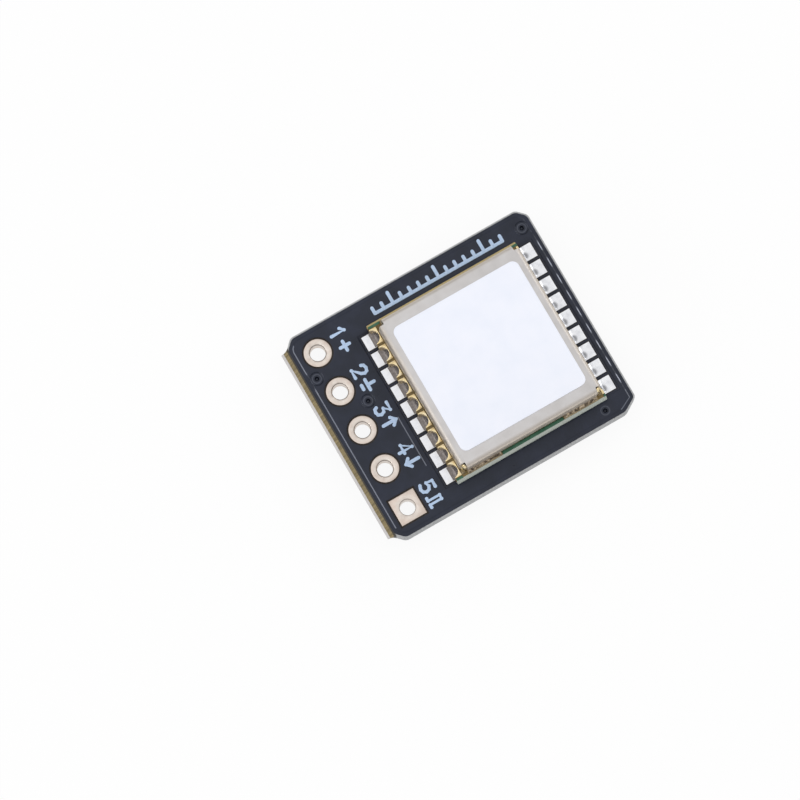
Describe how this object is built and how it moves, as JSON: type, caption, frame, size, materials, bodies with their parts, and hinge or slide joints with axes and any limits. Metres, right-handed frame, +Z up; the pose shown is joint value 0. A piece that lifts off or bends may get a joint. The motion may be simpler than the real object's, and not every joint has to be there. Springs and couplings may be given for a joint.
{
  "type": "gps module",
  "caption": "Small satellite-positioning module: a castellated receiver under a folded shield can, soldered to a black carrier board with a row of plated pin holes and a push-on antenna socket.",
  "frame": {"origin": "middle of the board's outline box, at the level of the tallest parts under the board", "axes": "+X across the pin row towards the far lands, +Y along the pin row away from the square pad, +Z up out of the face with the shield can"},
  "size_m": [0.0162, 0.0132, 0.0049],
  "materials": {
    "laminate": "woven glass laminate, cut edges",
    "black_mask": "semi-gloss black solder mask",
    "green_mask": "green solder mask",
    "copper": "etched copper foil",
    "pad_gold": "pale gold plating",
    "gold": "gold plating",
    "tin": "tinned copper",
    "solder": "reflowed solder",
    "can_metal": "satin nickel-silver sheet",
    "label_film": "white satin label",
    "moulded_black": "moulded epoxy",
    "tan_ceramic": "fired capacitor ceramic",
    "dark_ceramic": "fired package ceramic",
    "pale_ceramic": "fired alumina",
    "blue_ferrite": "ferrite with a blue coat",
    "resist_film": "black resistor glaze",
    "insulator": "white moulded insulator",
    "lamp_resin": "clear-tinted lamp resin"
  },
  "bodies": {
    "root": {"printed_board": "laminate", "module_board": "laminate", "top_ground_plane": "copper", "bottom_ground_plane": "copper", "via_barrels": "copper", "top_solder_mask": "black_mask", "bottom_solder_mask": "black_mask", "module_solder_mask": "green_mask", "near_lands": "tin", "far_lands": "tin", "near_solder_joints": "solder", "far_solder_joints": "solder", "can_solder": "solder", "underside_solder": "solder", "near_castellations": "gold", "far_castellations": "gold", "can_ground_pads": "gold", "socket_shell": "gold", "socket_contact": "gold", "lamp_ends": "gold", "underside_pads": "pad_gold", "shield_can": "can_metal", "oscillator_lid": "can_metal", "clock_crystal_lid": "can_metal", "label": "label_film", "receiver_chip": "moulded_black", "amplifier_chip": "moulded_black", "regulator_body": "moulded_black", "receiver_contacts": "tin", "regulator_leads": "tin", "decoupling_ends": "tin", "oscillator_base": "dark_ceramic", "clock_crystal_base": "dark_ceramic", "band_filter": "pale_ceramic", "decoupling_capacitors": "tan_ceramic", "socket_insulator": "insulator", "lamp_base": "insulator", "lamp_lens": "lamp_resin", "input_capacitor": "tan_ceramic", "output_capacitor": "tan_ceramic", "antenna_capacitor": "tan_ceramic", "antenna_choke": "blue_ferrite", "lamp_resistor": "resist_film", "transmit_resistor": "resist_film", "receive_resistor": "resist_film", "pin_eyelet_1": "pad_gold", "pin_eyelet_2": "pad_gold", "pin_eyelet_3": "pad_gold", "pin_eyelet_4": "pad_gold", "pin_eyelet_5": "pad_gold", "input_capacitor_ends": "tin", "output_capacitor_ends": "tin", "antenna_choke_ends": "tin", "antenna_capacitor_ends": "tin", "lamp_resistor_ends": "tin", "transmit_resistor_ends": "tin", "receive_resistor_ends": "tin"}
  },
  "joints": []
}
